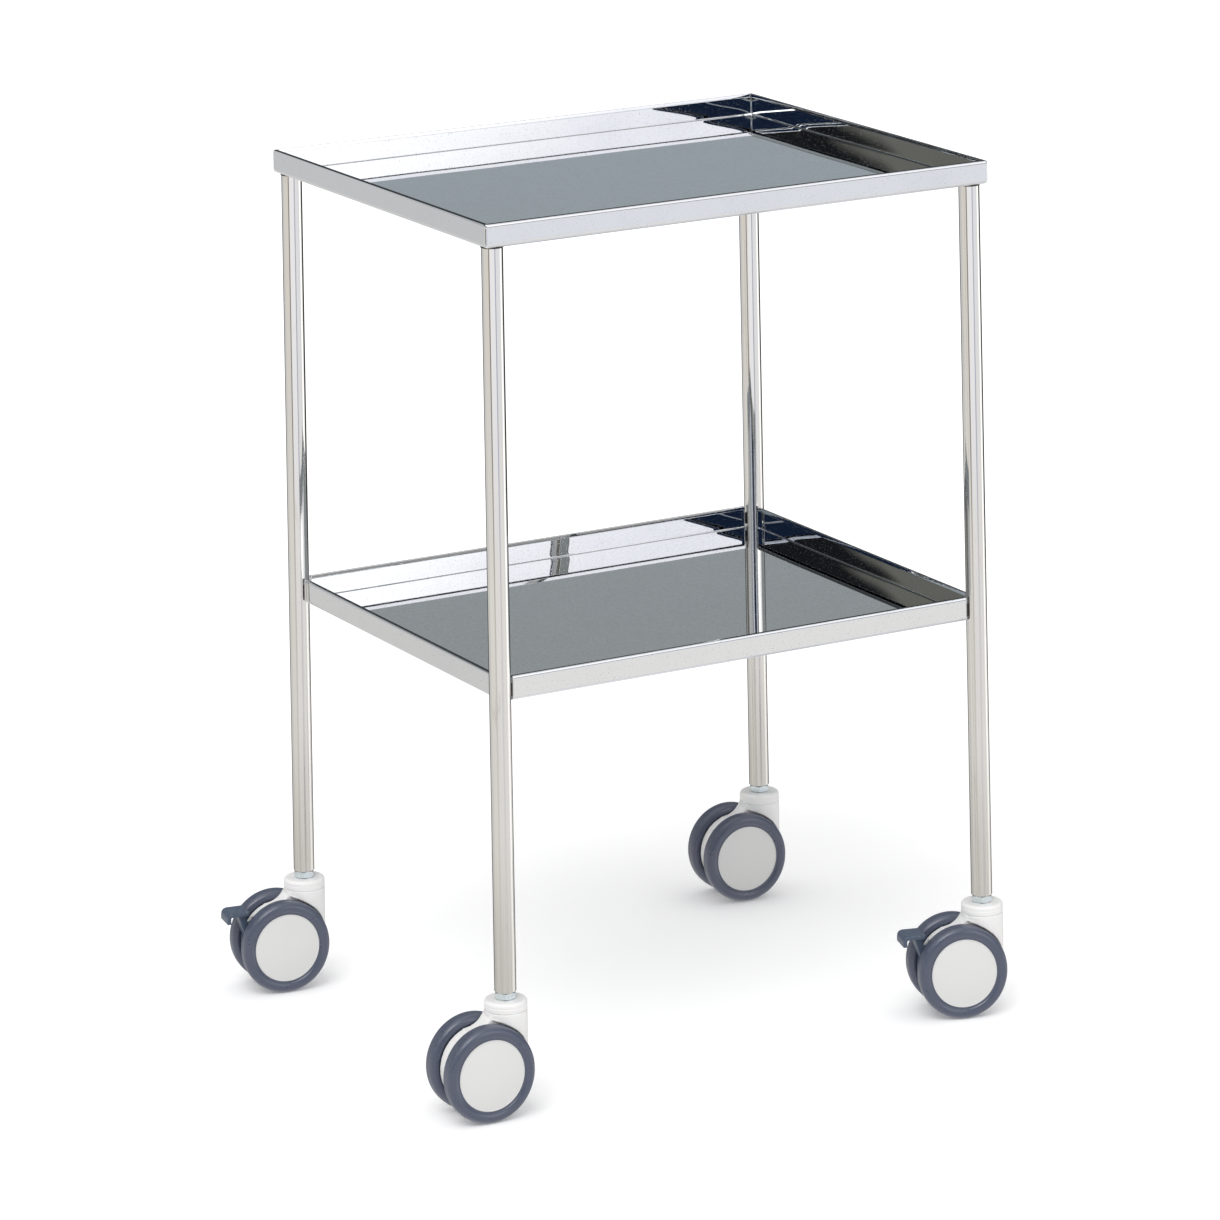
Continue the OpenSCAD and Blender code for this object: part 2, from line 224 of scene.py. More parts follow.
class Graph:
    """Adds and links shader nodes, so that a material reads as a list of steps."""

    def __init__(self, tree):
        self.tree = tree

    def add(self, kind, inputs=None, **settings):
        """A new node with its settings made and its inputs set or linked."""
        node = self.tree.nodes.new(kind)
        for key, value in settings.items():
            setattr(node, key, value)
        for key, value in (inputs or {}).items():
            self.put(node.inputs[key], value)
        return node

    def put(self, socket, value):
        """Links another node's output to a socket, or sets the socket's value."""
        if isinstance(value, bpy.types.NodeSocket):
            self.tree.links.new(value, socket)
        elif isinstance(value, (tuple, list)) and len(value) == 3 and socket.type == "RGBA":
            socket.default_value = (*value, 1.0)
        else:
            socket.default_value = value

    def math(self, operation, a, b=0.0, clamp=False):
        node = self.add("ShaderNodeMath", {0: a, 1: b}, operation=operation, use_clamp=clamp)
        return node.outputs[0]

    def mix(self, low, high, amount):
        """A colour between two others."""
        node = self.add("ShaderNodeMix", data_type="RGBA")
        self.put(node.inputs["Factor"], amount)
        self.put(node.inputs[6], low)
        self.put(node.inputs[7], high)
        return node.outputs[2]

    def blend(self, value, low, high, to_low=0.0, to_high=1.0):
        """A smooth step of a value, from to_low at low up to to_high at high."""
        inputs = {"Value": value, "From Min": low, "From Max": high, "To Min": to_low, "To Max": to_high}
        node = self.add("ShaderNodeMapRange", inputs, interpolation_type="SMOOTHSTEP")
        return node.outputs["Result"]

    def noise(self, vector, scale, detail=2.0, roughness=0.5):
        """Cloudy noise from 0 to 1, finer as the scale grows."""
        inputs = {"Vector": vector, "Scale": scale, "Detail": detail, "Roughness": roughness}
        return self.add("ShaderNodeTexNoise", inputs).outputs["Fac"]

    def stretched(self, vector, x, y, z):
        """A vector scaled along each axis, for streaks and turning marks."""
        return self.add("ShaderNodeMapping", {"Vector": vector, "Scale": (x, y, z)}).outputs["Vector"]

    def bump(self, height, distance, strength=1.0):
        """A normal that makes a surface look raised by distance where height is 1."""
        inputs = {"Height": height, "Distance": distance, "Strength": strength}
        return self.add("ShaderNodeBump", inputs).outputs["Normal"]

    def coordinates(self):
        """Places on the piece, in metres from its origin."""
        return self.add("ShaderNodeTexCoord").outputs["Object"]

    def from_origin(self, place):
        """How far a place is from the piece's origin. A wheel piece's origin is its hub."""
        return self.add("ShaderNodeVectorMath", {0: place}, operation="LENGTH").outputs["Value"]

    def split(self, vector):
        node = self.add("ShaderNodeSeparateXYZ", {0: vector})
        return node.outputs[0], node.outputs[1], node.outputs[2]


def start_material(name):
    """A new node material: its graph and its main shader."""
    material = bpy.data.materials.new(name)
    material.use_nodes = True
    graph = Graph(material.node_tree)
    return material, graph, material.node_tree.nodes["Principled BSDF"]


def settle(graph, shader, **values):
    """Sets or links the main shader's inputs. Underscores in a name stand for spaces."""
    for key, value in values.items():
        graph.put(shader.inputs[key.replace("_", " ")], value)


# ---------------------------------------------------------------- materials

def tray_steel():
    """Mirror-polished stainless sheet: faint waves, polishing lines, dust specks and haze."""
    material, graph, shader = start_material("tray_mirror_steel")
    place = graph.coordinates()
    haze = graph.blend(graph.noise(place, 14.0, 5.0, 0.62), 0.45, 0.75)
    lines = graph.noise(graph.stretched(place, 30, 1800, 1200), 1.0, 3.0, 0.6)
    specks = graph.blend(graph.noise(place, 620.0, 1.0, 0.4), 0.66, 0.74)
    grain = graph.blend(graph.noise(place, 330.0, 3.0, 0.75), 0.40, 0.60)
    tone = graph.mix((0.82, 0.83, 0.84), (0.79, 0.80, 0.815), haze)
    up = graph.split(graph.add("ShaderNodeNewGeometry").outputs["Normal"])[2]
    grain = graph.math("MULTIPLY", grain, graph.blend(up, 0.5, 0.9, 0.10, 0.75))
    tone = graph.mix(tone, (0.70, 0.705, 0.71), grain)
    colour = graph.mix(tone, (0.42, 0.42, 0.42), graph.math("MULTIPLY", specks, 0.5))
    rough = graph.math("ADD", graph.blend(haze, 0, 1, 0.012, 0.035), graph.math("MULTIPLY", specks, 0.2))
    waves = graph.noise(place, 5.5, 1.0, 0.4)
    height = graph.math("ADD", waves, graph.math("MULTIPLY", lines, 0.0025))
    settle(graph, shader, Base_Color=colour, Metallic=1.0, Roughness=rough,
           Normal=graph.bump(height, 0.00025))
    return material


def leg_steel():
    """Buffed stainless tube: mirror-like near the top, more satin, marked and darker towards the floor,
    with painted shade along its outlines.
    """
    material, graph, shader = start_material("leg_buffed_steel")
    place = graph.coordinates()
    z = graph.split(place)[2]
    low = graph.blend(z, 0.62, 0.34)
    streaks = graph.noise(graph.stretched(place, 900, 900, 9), 1.0, 3.0, 0.6)
    marks = graph.blend(graph.noise(graph.stretched(place, 60, 60, 14), 1.0, 5.0, 0.65), 0.60, 0.75)
    fine = graph.noise(place, 520.0, 2.0, 0.6)
    tone = graph.mix((0.84, 0.825, 0.80), (0.79, 0.775, 0.745), graph.math("MULTIPLY", low, streaks))
    foot = graph.math("MULTIPLY", graph.blend(z, 0.30, 0.12), graph.blend(streaks, 0.2, 0.8, 0.6, 1.0))
    tone = graph.mix(tone, (0.62, 0.60, 0.565), foot)
    colour = graph.mix(tone, (0.62, 0.56, 0.48), graph.math("MULTIPLY", marks, 0.30))
    # Painted shade: towards the tube's outlines, where it turns away from the camera, the colour goes near
    # black and the edge tint dark.
    edge = graph.blend(graph.add("ShaderNodeLayerWeight", {"Blend": 0.5}).outputs["Facing"], 0.58, 0.78)
    colour = graph.mix(colour, (0.10, 0.10, 0.095), edge)
    rough = graph.math("ADD", graph.blend(low, 0, 1, 0.03, 0.18), graph.math("MULTIPLY", marks, 0.10))
    rough = graph.math("ADD", rough, graph.math("MULTIPLY", streaks, 0.05))
    height = graph.math("ADD", graph.math("MULTIPLY", streaks, 0.5), graph.math("MULTIPLY", fine, 0.35))
    settle(graph, shader, Base_Color=colour, Metallic=1.0, Roughness=rough,
           Specular_Tint=graph.mix((1.0, 1.0, 1.0), (0.15, 0.15, 0.15), edge),
           Normal=graph.bump(height, 0.00003, graph.blend(low, 0, 1, 0.25, 0.9)))
    return material


def weld_steel():
    """A dressed weld bead: dull, with straw and blue heat tint."""
    material, graph, shader = start_material("weld_bead")
    place = graph.coordinates()
    tint = graph.noise(place, 260.0, 3.0, 0.6)
    colour = graph.mix((0.13, 0.105, 0.075), (0.08, 0.082, 0.095), graph.blend(tint, 0.4, 0.6))
    rough = graph.blend(graph.noise(place, 900.0, 2.0), 0.3, 0.7, 0.32, 0.6)
    settle(graph, shader, Base_Color=colour, Metallic=1.0, Roughness=rough,
           Normal=graph.bump(tint, 0.0003))
    return material


def zinc_steel():
    """Bright zinc plate, bluish, with turning marks and a faint crystalline mottle."""
    material, graph, shader = start_material("zinc_plate")
    place = graph.coordinates()
    mottle = graph.noise(place, 700.0, 3.0, 0.6)
    turned = graph.noise(graph.stretched(place, 60, 60, 2600), 1.0, 1.0)
    colour = graph.mix((0.66, 0.74, 0.78), (0.80, 0.86, 0.88), mottle)
    rough = graph.blend(mottle, 0.3, 0.7, 0.20, 0.36)
    settle(graph, shader, Base_Color=colour, Metallic=1.0, Roughness=rough,
           Normal=graph.bump(graph.math("ADD", turned, mottle), 0.00004))
    return material


def bearing_steel():
    """Ground steel with a film of grease."""
    material, graph, shader = start_material("bearing_ground_steel")
    place = graph.coordinates()
    film = graph.noise(place, 180.0, 4.0, 0.6)
    turned = graph.noise(graph.stretched(place, 40, 40, 3000), 1.0, 1.0)
    settle(graph, shader, Base_Color=graph.mix((0.30, 0.30, 0.31), (0.42, 0.42, 0.43), film), Metallic=1.0,
           Roughness=graph.blend(film, 0.3, 0.7, 0.22, 0.45), Normal=graph.bump(turned, 0.00003))
    return material


def white_plastic():
    """Moulded warm white plastic: soft gloss, fine mould texture, a trace of dust in the lower parts."""
    material, graph, shader = start_material("moulded_white_plastic")
    place = graph.coordinates()
    z = graph.split(place)[2]
    dust = graph.math("MULTIPLY", graph.blend(z, 0.10, 0.02), graph.noise(place, 120.0, 4.0, 0.65))
    cloud = graph.noise(place, 35.0, 3.0)
    colour = graph.mix((0.86, 0.855, 0.84), (0.90, 0.895, 0.885), cloud)
    colour = graph.mix(colour, (0.60, 0.58, 0.54), graph.math("MULTIPLY", dust, 0.22))
    grain = graph.noise(place, 1500.0, 2.0, 0.6)
    settle(graph, shader, Base_Color=colour, Roughness=graph.blend(cloud, 0.3, 0.7, 0.30, 0.38),
           Normal=graph.bump(grain, 0.00002), Subsurface_Weight=0.06, Subsurface_Scale=0.004,
           IOR=1.49, Coat_Weight=0.12, Coat_Roughness=0.12)
    return material


def cap_plastic():
    """The wheel caps: smooth white discs whose white is painted darker than the housings' as painted
    shade, with faint turning rings and a few scuffs.
    """
    material, graph, shader = start_material("cap_white_plastic")
    place = graph.coordinates()
    radius = graph.from_origin(place)
    cloud = graph.noise(place, 30.0, 3.0)
    # Painted shade: the caps' white is set well below the housings' white plastic, standing in for the
    # shade on these upright discs.
    colour = graph.mix((0.735, 0.735, 0.722), (0.75, 0.75, 0.735), cloud)
    scuffs = graph.blend(graph.noise(graph.stretched(place, 700, 90, 160), 1.0, 4.0, 0.7), 0.66, 0.78)
    colour = graph.mix(colour, (0.72, 0.71, 0.69), graph.math("MULTIPLY", scuffs, 0.10))
    rings = graph.math("SINE", graph.math("MULTIPLY", radius, 9000.0))
    settle(graph, shader, Base_Color=colour, Roughness=graph.blend(cloud, 0.3, 0.7, 0.32, 0.38),
           Normal=graph.bump(rings, 0.000004), IOR=1.49, Coat_Weight=0.08, Coat_Roughness=0.15)
    return material


def tyre_rubber():
    """Blue-grey thermoplastic rubber: satin, faintly mottled, scuffed paler on the tread."""
    material, graph, shader = start_material("blue_grey_tyre")
    place = graph.coordinates()
    radius = graph.from_origin(place)
    mottle = graph.noise(place, 90.0, 4.0, 0.6)
    colour = graph.mix((0.056, 0.068, 0.112), (0.066, 0.079, 0.126), mottle)
    tread = graph.blend(radius, 46.5 * MM, 47.7 * MM)
    wear = graph.math("MULTIPLY", tread, graph.blend(graph.noise(place, 300.0, 4.0, 0.7), 0.35, 0.7))
    colour = graph.mix(colour, (0.17, 0.185, 0.22), graph.math("MULTIPLY", wear, 0.30))
    grain = graph.noise(place, 1600.0, 2.0, 0.6)
    rough = graph.math("ADD", graph.blend(mottle, 0.3, 0.7, 0.27, 0.33), graph.math("MULTIPLY", wear, 0.2))
    settle(graph, shader, Base_Color=colour, Roughness=rough, Normal=graph.bump(grain, 0.00003),
           IOR=1.5, Specular_IOR_Level=0.9)
    return material


def pedal_plastic():
    """Blue-grey moulded plastic of the brake pedals: satin, with painted light that makes its top face
    paler in streaks.
    """
    material, graph, shader = start_material("blue_grey_pedal")
    place = graph.coordinates()
    z = graph.split(place)[2]
    cloud = graph.noise(place, 80.0, 4.0, 0.6)
    colour = graph.mix((0.060, 0.085, 0.130), (0.078, 0.105, 0.155), cloud)
    streaks = graph.noise(graph.stretched(place, 400, 120, 200), 1.0, 4.0, 0.7)
    # Painted light: the top face is painted paler in streaks, where light falls on it.
    on_top = graph.blend(z, 83.0 * MM, 85.8 * MM)
    painted_top_light = graph.math("MULTIPLY", on_top, graph.blend(streaks, 0.45, 0.7))
    colour = graph.mix(colour, (0.20, 0.225, 0.27), graph.math("MULTIPLY", painted_top_light, 0.5))
    grain = graph.noise(place, 1300.0, 2.0, 0.6)
    settle(graph, shader, Base_Color=colour, Roughness=graph.blend(cloud, 0.3, 0.7, 0.36, 0.46),
           Normal=graph.bump(grain, 0.00004), IOR=1.5)
    return material


# ---------------------------------------------------------------- trays

def tray_profile(height):
    """The tray's section as (distance in from the outer face, height above the underside).

    The sheet bends up from the floor, rolls over at the rim and turns down again inside it,
    which leaves a narrow gap between the hem and the wall.
    """
    bend = HEM_WIDTH
    flat = 2.5 * MM             # of the outer face beside the bend and beside the rounding
    roll_z = height - CROWN - ROLL_HEIGHT
    points = arc(bend, bend, bend, 270, 180, 10)
    points += [(0.0, bend + flat), (0.0, roll_z - flat)]
    for k in range(10):
        angle = math.radians(9 * k)
        out = ROLL_DEPTH - ROLL_DEPTH * math.cos(angle)
        points.append((out, roll_z + ROLL_HEIGHT * math.sin(angle)))
    points.append((ROLL_DEPTH + 0.5 * MM, height - CROWN * 0.75))
    edge = 0.6 * MM
    points += arc(HEM_WIDTH - HEM_LEAN - edge, height - edge, edge, 98, 8, 8)
    under_hem = height - HEM_HEIGHT
    points += arc(HEM_WIDTH - SHEET / 2, under_hem + SHEET / 2, SHEET / 2, 0, -180, 10)
    gap_top = height - 1.6 * MM
    points += [(HEM_WIDTH - SHEET, gap_top), (SHEET, gap_top)]
    above_bend = SHEET + INNER_BEND
    rows = 9
    points += [(SHEET, under_hem + (above_bend - under_hem) * k / rows) for k in range(rows)]
    points += arc(SHEET + INNER_BEND, above_bend, INNER_BEND, 180, 270, 8)
    return points


def rectangle_loop(bm, half_x, half_y, radius, z, warp):
    """A loop of points round a rounded rectangle.

    warp is how far welding has drawn the wall inwards beside each corner, which fades out
    along the wall.
    """
    runs = [k * MM for k in (1.6, 4.2, 7.4, 12.3, 16.6, 22.4, 30.4, 42.4, 60.4)]
    loop = []
    for turn, (side_x, side_y) in enumerate(((1, 1), (-1, 1), (-1, -1), (1, -1))):
        centre = Vector((side_x * (half_x - radius), side_y * (half_y - radius), z))
        before = Vector((math.cos(math.radians(90 * turn)), math.sin(math.radians(90 * turn)), 0))
        after = Vector((-before.y, before.x, 0))
        for run in reversed(runs):
            drawn = warp * math.exp(-run / WARP_REACH)
            loop.append(bm.verts.new(centre + before * (radius - drawn) - after * run))
        for step in range(0, 91, 15):
            angle = math.radians(90 * turn + step)
            across = Vector((math.cos(angle), math.sin(angle), 0))
            loop.append(bm.verts.new(centre + across * (radius - warp)))
        for run in runs:
            drawn = warp * math.exp(-run / WARP_REACH)
            loop.append(bm.verts.new(centre + after * (radius - drawn) - before * run))
    return loop


def folded_tray(node):
    """A closed mesh of a folded tray with a rolled hem, as large as the CAD tray."""
    low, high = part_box(node)
    middle_x = (low.x + high.x) / 2
    middle_y = (low.y + high.y) / 2
    half_x = (high.x - low.x) / 2
    half_y = (high.y - low.y) / 2
    height = high.z - low.z
    bm = bmesh.new()
    loops = []
    for inset, z in tray_profile(height):
        radius = max(CORNER_RADIUS - inset, 0.5 * MM)
        up = (z - SHEET - INNER_BEND) / (height - HEM_HEIGHT - SHEET - INNER_BEND)
        on_inner_wall = abs(inset - SHEET) < 0.01 * MM and 0 < up < 1
        warp = WARP * math.sin(math.pi * up) if on_inner_wall else 0.0
        loops.append(rectangle_loop(bm, half_x - inset, half_y - inset, radius, low.z + z, warp))
    for lower, upper in zip(loops, loops[1:]):
        bridge(bm, lower, upper)
    bm.faces.new(loops[0])
    bm.faces.new(loops[-1])
    bmesh.ops.translate(bm, verts=bm.verts, vec=(middle_x, middle_y, 0))
    return bm


def build_top_tray(material):
    """The top tray: a whole folded sheet."""
    tray = as_piece("top_tray_sheet", folded_tray("top_tray"), material, "frame")
    stand_for("top_tray")


def seam_section():
    """The round section of a corner seam, at a size of 1."""
    angles = [math.radians(45 * k) for k in range(8)]
    return [Vector((math.cos(angle), math.sin(angle), 0)) for angle in angles]


def build_corner_seams(material):
    """The dressed weld seams up two diagonal corners of the top tray. The others are bent round."""
    low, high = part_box("top_tray")
    outside = CORNER_RADIUS * (1 - math.sqrt(0.5)) + 0.15 * MM
    inside = SHEET + 0.4 * MM
    short = 3 * MM              # of the tray's underside and of its top
    steps = 24
    bm = bmesh.new()
    places = [(low.x + inset, low.y + inset) for inset in (outside, inside)]
    places += [(high.x - inset, high.y - inset) for inset in (outside, inside)]
    for x, y in places:
        rings = []
        for k in range(steps + 1):
            share = k / steps
            z = low.z + short + (high.z - low.z - 2 * short) * share
            swell = noise.noise(Vector((x * 30, 0, share * 9)))
            tapered = min(1.0, 8 * share + 0.1, 8 * (1 - share) + 0.1)
            reach = (0.52 + 0.12 * swell) * MM * tapered
            place = Vector((x, y, z))
            rings.append([bm.verts.new(place + point * reach) for point in seam_section()])
        for lower, upper in zip(rings, rings[1:]):
            bridge(bm, lower, upper)
        bm.faces.new(rings[0])
        bm.faces.new(rings[-1])
    seams = as_piece("top_tray_corner_seams", bm, material, "frame", smooth_angle=60)


def build_lower_tray(material):
    """The lower tray stands between the legs: cut round them, with its wall ends turned in."""
    mesh = as_mesh("lower_tray_sheet", folded_tray("lower_tray"))
    low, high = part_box("lower_tray")
    past = 5 * MM               # how far the tools reach past the sheet
    kept = 1.4 * MM             # the height of sheet that stays at the corners, as a floor
    tools = bmesh.new()
    for corner in CORNERS:
        axis = middle("leg_" + corner)
        add_box(tools, (axis.x - WALL_END, axis.y - WALL_END, low.z + kept),
                (axis.x + WALL_END, axis.y + WALL_END, high.z + past))
    mesh = cut_away(mesh, tools)
    tools = bmesh.new()
    for corner in CORNERS:
        leg_low, leg_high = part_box("leg_" + corner)
        axis = (leg_low + leg_high) / 2
        radius = (leg_high.x - leg_low.x) / 2 + 0.05 * MM
        ends = [(0, low.z - past), (radius, low.z - past), (radius, high.z), (0, high.z)]
        lathe(tools, ends, (axis.x, axis.y, 0), closed=False)
    mesh = cut_away(mesh, tools)
    tray = piece_of("lower_tray_sheet", mesh, material, "frame")
    stand_for("lower_tray")
    build_wall_returns(material)


def build_wall_returns(material):
    """The short flanges that close the ends of the lower tray's walls."""
    low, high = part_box("lower_tray")
    bm = bmesh.new()
    reach = HEM_WIDTH - 0.15 * MM
    for corner in CORNERS:
        axis = middle("leg_" + corner)
        to_x = 1 if axis.x < 0 else -1
        to_y = 1 if axis.y < 0 else -1
        face_y = low.y if axis.y < 0 else high.y
        face_x = low.x if axis.x < 0 else high.x
        end_x = axis.x + to_x * WALL_END
        end_y = axis.y + to_y * WALL_END
        add_flange(bm, (end_x, face_y), (end_x + to_x * SHEET, face_y + to_y * reach), low.z, high.z)
        add_flange(bm, (face_x, end_y), (face_x + to_x * reach, end_y + to_y * SHEET), low.z, high.z)
    flanges = as_piece("lower_tray_wall_ends", bm, material, "frame")
    bevel = flanges.modifiers.new("Rounded edges", "BEVEL")
    bevel.width = 0.35 * MM
    bevel.segments = 3


def add_flange(bm, start, end, low_z, high_z):
    """An upright plate between two plan points, from in the floor to just under the rim's top."""
    foot = low_z + 1.2 * MM
    top = high_z - 0.3 * MM
    low = (min(start[0], end[0]), min(start[1], end[1]), foot)
    high = (max(start[0], end[0]), max(start[1], end[1]), top)
    add_box(bm, low, high)


# ---------------------------------------------------------------- legs and what is fixed to them

def build_leg(corner, material):
    """A round tube with its lower edge dressed."""
    low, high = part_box("leg_" + corner)
    axis = (low + high) / 2
    radius = (high.x - low.x) / 2
    bore = radius - LEG_WALL
    edge = 0.8 * MM
    end = 100 * MM              # from each end to the long plain middle
    profile = [(bore, low.z + edge / 2), (bore + edge / 2, low.z)]
    profile += arc(radius - edge, low.z + edge, edge, -90, 0, 6)
    profile += [(radius, low.z + end), (radius, high.z - end), (radius, high.z), (bore, high.z)]
    bm = bmesh.new()
    lathe(bm, profile, (axis.x, axis.y, 0))
    tube = as_piece("leg_tube_" + corner, bm, material, "frame")
    stand_for("leg_" + corner)


def add_ring_bead(bm, centre, radius, size, seed):
    """A weld bead run round a tube, as a ring of overlapping ripples."""
    ripples = 26
    steps = 208
    section = 8
    rings = []
    for i in range(steps):
        angle = 2 * math.pi * i / steps
        wobble = 0.10 * noise.noise(Vector((math.cos(angle) * 3, math.sin(angle) * 3, seed)))
        ripple = 0.12 * abs(math.sin(angle * ripples / 2))
        thick = size * (0.86 + wobble + ripple)
        ring = []
        for k in range(section):
            around = 2 * math.pi * k / section
            out = radius + thick * math.cos(around)
            place = Vector((out * math.cos(angle), out * math.sin(angle), thick * math.sin(around)))
            ring.append(bm.verts.new(Vector(centre) + place))
        rings.append(ring)
    for i in range(steps):
        bridge(bm, rings[i], rings[(i + 1) % steps])


def build_top_welds(material):
    """A bead round the top of each leg, under the top tray."""
    bead = 0.8 * MM
    bm = bmesh.new()
    for seed, corner in enumerate(CORNERS):
        low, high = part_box("leg_" + corner)
        axis = (low + high) / 2
        radius = (high.x - low.x) / 2
        add_ring_bead(bm, (axis.x, axis.y, high.z - bead), radius + 0.1 * MM, bead, seed)
    beads = as_piece("leg_top_weld_beads", bm, material, "frame", smooth_angle=60)
    stand_for("top_welds")


def build_stem_nuts(material):
    """The zinc hexagons between the casters' collars and the legs."""
    bm = bmesh.new()
    low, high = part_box("stem_nuts")
    half_flats = (high.x - middle("leg_front_right").x) * math.cos(math.radians(30))
    for corner in CORNERS:
        axis = middle("leg_" + corner)
        add_nut(bm, axis.x, axis.y, low.z, high.z, half_flats)
    nuts = as_piece("stem_nuts_chamfered", bm, material, "frame", smooth_angle=24)
    stand_for("stem_nuts")


def add_nut(bm, x, y, low, high, half_flats):
    """A hexagon nut with the curved chamfers that turning leaves on its corners."""
    bore = STEM_RADIUS + 0.02 * MM
    steps = 120
    face_r = half_flats * 0.96
    slope = math.tan(math.radians(30))
    columns = []
    for i in range(steps):
        angle = 2 * math.pi * i / steps
        from_flat = abs((angle % math.radians(60)) - math.radians(30))
        outer = half_flats / math.cos(from_flat)
        drop = (outer - face_r) * slope
        ring = [(bore, low), (face_r, low), (outer, low + drop)]
        ring += [(outer, high - drop), (face_r, high), (bore, high)]
        c, s = math.cos(angle), math.sin(angle)
        columns.append([bm.verts.new((x + r * c, y + r * s, z)) for r, z in ring])
    for i in range(steps):
        bridge(bm, columns[i], columns[(i + 1) % steps])


# ---------------------------------------------------------------- casters

def caster_place(corner):
    """Takes a caster drawn on the Z axis, trailing towards -X, to its place in the cart."""
    leg = middle("leg_" + corner)
    axle = middle("axle_" + corner)
    turn = math.atan2(leg.y - axle.y, leg.x - axle.x)
    return Matrix.Translation((leg.x, leg.y, 0)) @ Matrix.Rotation(turn, 4, "Z")


def wheel_turn(side):
    """Turns a lathe about Z into one about Y, with its outer face away from the caster's middle."""
    return Matrix.Rotation(math.radians(90 if side == "near" else -90), 3, "X")


def tyre_mesh(width, radius, cap_radius):
    """A full tyre section: rounded shoulders, a fine parting line and a lip against the rim."""
    round_r = (radius - cap_radius) / 2
    mid = radius - round_r
    off = width / 2 - round_r
    seat = width / 2 - 1.8 * MM  # from the tyre's middle plane to the lip against the rim
    lip = mid - round_r * 0.72
    line = 0.15 * MM
    profile = [(cap_radius, -seat), (lip, -seat)]
    profile += arc(mid, -off, round_r, 225, 360, 26)
    profile += [(radius, -2 * line), (radius + line * 0.6, 0.0), (radius, 2 * line)]
    profile += arc(mid, off, round_r, 0, 135, 26)
    profile += [(lip, seat), (cap_radius, seat)]
    bm = bmesh.new()
    lathe(bm, profile, steps=128)
    return bm


def cap_mesh(radius, back, thick):
    """A thin domed disc with a raised edge and a fine step inside it."""
    edge = 1.2 * MM
    step = 0.45 * MM
    dome = 2.1 * MM
    outer_r = 0.4 * MM
    inner_r = 0.3 * MM
    inner = radius - edge
    top = back + thick
    profile = [(0.0, back), (radius, back)]
    profile += arc(radius - outer_r, top - outer_r, outer_r, 0, 90, 5)
    profile += arc(inner + inner_r, top - inner_r, inner_r, 90, 180, 4)
    steps = 18
    for k in range(steps, -1, -1):
        share = k / steps
        profile.append((inner * share, top - step + dome * (1 - share * share)))
    bm = bmesh.new()
    lathe(bm, profile, steps=128, closed=False)
    return bm


def build_wheel(corner, side, materials):
    """A tyre and a cap, each with its own origin at the wheel's middle."""
    wheel = f"{corner}_{side}"
    low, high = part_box("tyre_" + wheel)
    hub = (low + high) / 2
    cap_low, cap_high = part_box("hub_cap_" + wheel)
    radius = (high.z - low.z) / 2 - 0.1 * MM    # the parting line stands out from this
    cap_radius = (cap_high.z - cap_low.z) / 2
    tyre = tyre_mesh(TYRE_WIDTH, radius, cap_radius)
    cap = cap_mesh(cap_radius, CAP_SEAT, CAP_EDGE)
    turn = caster_place(corner).to_3x3() @ wheel_turn(side)
    pieces = (
        ("tyre_ring_", tyre, "tyre", "tyre_", "tyre"),
        ("cap_disc_", cap, "cap", "hub_cap_", "white_plastic"),
    )
    for name, bm, look, node, slot in pieces:
        bmesh.ops.rotate(bm, verts=bm.verts, cent=(0, 0, 0), matrix=turn)
        body = "wheel_" + wheel
        piece = as_piece(name + wheel, bm, materials[look], body, place=hub, flatness=50)
        stand_for(node + wheel)


def softened(node, name, corner, voxel, rounds, extra=None):
    """A moulded copy of a CAD node: remeshed finely and smoothed, so its edges are rounded.

    The work is done with the caster square to the axes. extra is a mesh, drawn like that, that
    is joined to the copy first.
    """
    place = caster_place(corner)
    bm = bmesh.new()
    bm.from_mesh(frame["nodes"][node].data)
    bm.transform(place.inverted())
    if extra:
        bm.from_mesh(extra)
    work = linked("work", plain_mesh(name, bm))
    remesh = work.modifiers.new("Remesh", "REMESH")
    remesh.mode = "VOXEL"
    remesh.voxel_size = voxel
    smooth = work.modifiers.new("Smooth", "SMOOTH")
    smooth.factor = 0.5
    smooth.iterations = rounds
    result = evaluated_copy(work)
    result.transform(place)
    result.name = name
    result.shade_smooth()
    return result


def build_moulding(node, name, mesh, material, body):
    """A softened mesh as a visible piece. All its edges are smooth."""
    mesh.materials.clear()
    mesh.materials.append(material)
    piece = linked(name, mesh)
    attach(piece, body)
    stand_for(node)


